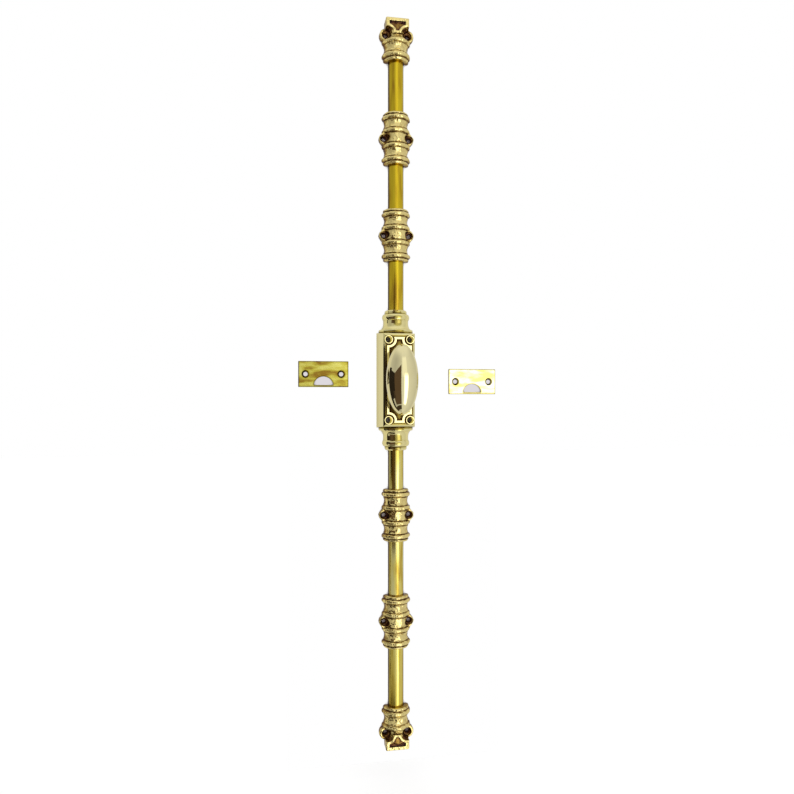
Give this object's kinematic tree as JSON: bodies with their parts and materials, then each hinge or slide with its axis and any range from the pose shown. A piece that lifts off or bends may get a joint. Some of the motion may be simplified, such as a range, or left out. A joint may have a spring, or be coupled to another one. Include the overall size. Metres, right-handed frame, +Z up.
{
  "type": "cremone door bolt set",
  "caption": "Surface-mounted brass cremone bolt: an oval knob turns a pinion that drives half-round rods out through cast guides, with flat strike plates beside it.",
  "frame": {"origin": "centre of the case's four fixing screws, on the flat back of the case, on the axis of the knob", "axes": "+Z up along the rods, +Y into the door leaf, +X to the right as seen from the room"},
  "size_m": [0.2046, 0.053, 0.7375],
  "materials": {
    "cast_brass": "cast, polished and lacquered",
    "knob_brass": "cast, mirror polished",
    "drawn_brass": "drawn half-round bar, polished",
    "rolled_brass": "rolled sheet, brushed along its length",
    "turned_brass": "turned",
    "bronze": "stamped bronze",
    "machined_steel": "milled, oiled",
    "plated_steel": "zinc plated"
  },
  "bodies": {
    "root": {"case_body": "cast_brass", "back_plate": "plated_steel", "back_plate_screws": "plated_steel", "front_bush": "turned_brass", "thrust_washer": "bronze", "upper_outer_guide": "cast_brass", "upper_inner_guide": "cast_brass", "lower_inner_guide": "cast_brass", "lower_outer_guide": "cast_brass", "top_end_guide": "cast_brass", "bottom_end_guide": "cast_brass", "left_strike_plate": "rolled_brass", "right_strike_plate": "rolled_brass"},
    "knob": {"knob": "knob_brass", "knob_pin": "machined_steel", "spindle": "machined_steel", "pinion": "machined_steel"},
    "upper_rod": {"upper_rod": "drawn_brass", "upper_rack": "machined_steel", "upper_rack_screws": "plated_steel"},
    "lower_rod": {"lower_rod": "drawn_brass", "lower_rack": "machined_steel", "lower_rack_screws": "plated_steel"}
  },
  "joints": [
    {"name": "knob_turn", "type": "hinge", "parent": "root", "child": "knob", "pos_m": [0, 0, 0], "axis": [0, 1, 0], "range_deg": [0, 90]},
    {"name": "upper_rod_slide", "type": "slide", "parent": "root", "child": "upper_rod", "axis": [0, 0, 1], "range_m": [0, 0.01572]},
    {"name": "lower_rod_slide", "type": "slide", "parent": "root", "child": "lower_rod", "axis": [0, 0, -1], "range_m": [0, 0.01572]}
  ],
  "couplings": [
    {"joint": "upper_rod_slide", "follows": "knob_turn", "m_per_rad": 0.01},
    {"joint": "lower_rod_slide", "follows": "knob_turn", "m_per_rad": 0.01}
  ]
}
